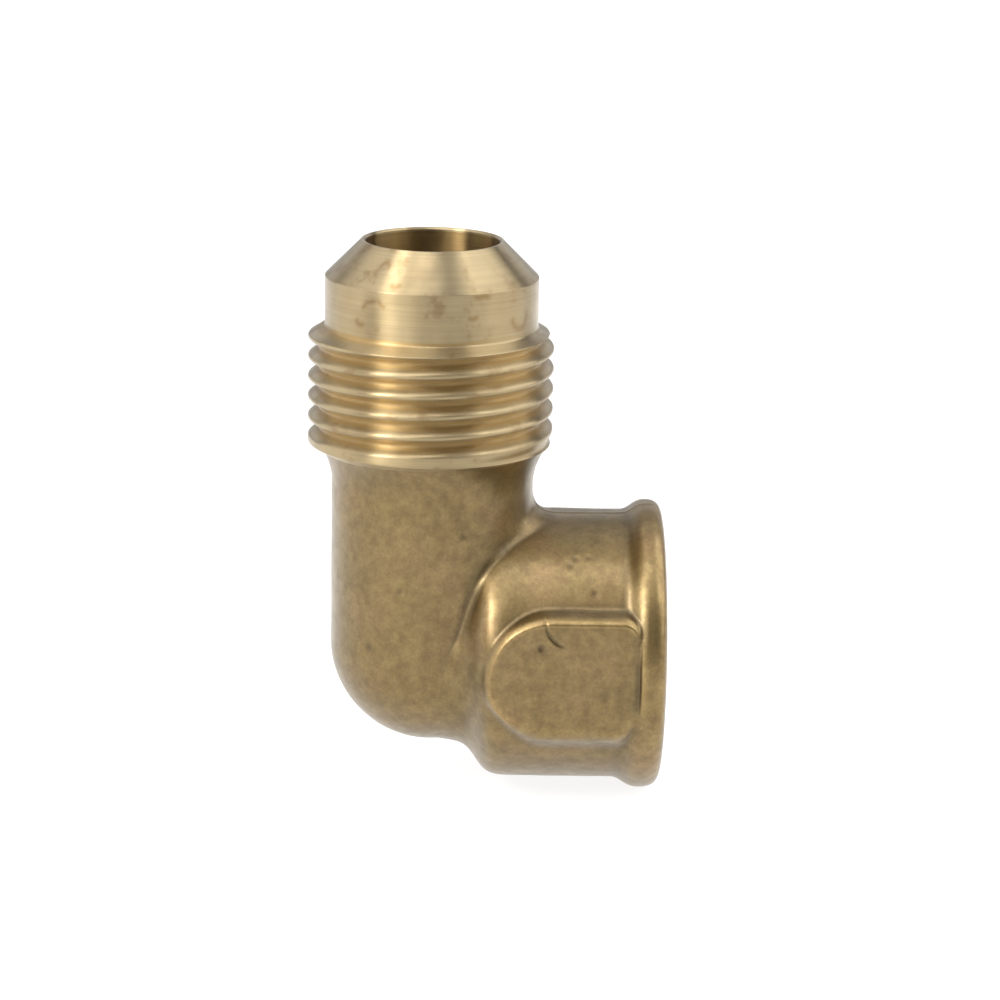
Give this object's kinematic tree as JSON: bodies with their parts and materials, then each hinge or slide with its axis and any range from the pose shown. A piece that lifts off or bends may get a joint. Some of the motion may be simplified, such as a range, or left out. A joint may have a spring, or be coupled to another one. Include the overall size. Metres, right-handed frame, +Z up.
{
  "type": "flare elbow fitting",
  "caption": "Forged brass 90 degree elbow fitting: a threaded 45 degree flare end turned up, and a tapped pipe socket with a beaded mouth and wrench pads.",
  "frame": {"origin": "where the flare bore's axis and the pipe socket's axis cross", "axes": "+Z up the flare end and out of its nose, +X out of the pipe socket's mouth, wrench pads facing -Y and +Y"},
  "size_m": [0.028, 0.0228, 0.0437],
  "materials": {
    "turned_brass": "turned, bright, fine tool marks",
    "forged_brass": "hot forged and blasted, dull satin"
  },
  "bodies": {
    "root": {"flare_end": "turned_brass", "elbow_barrel": "forged_brass", "pipe_socket": "forged_brass"}
  },
  "joints": []
}
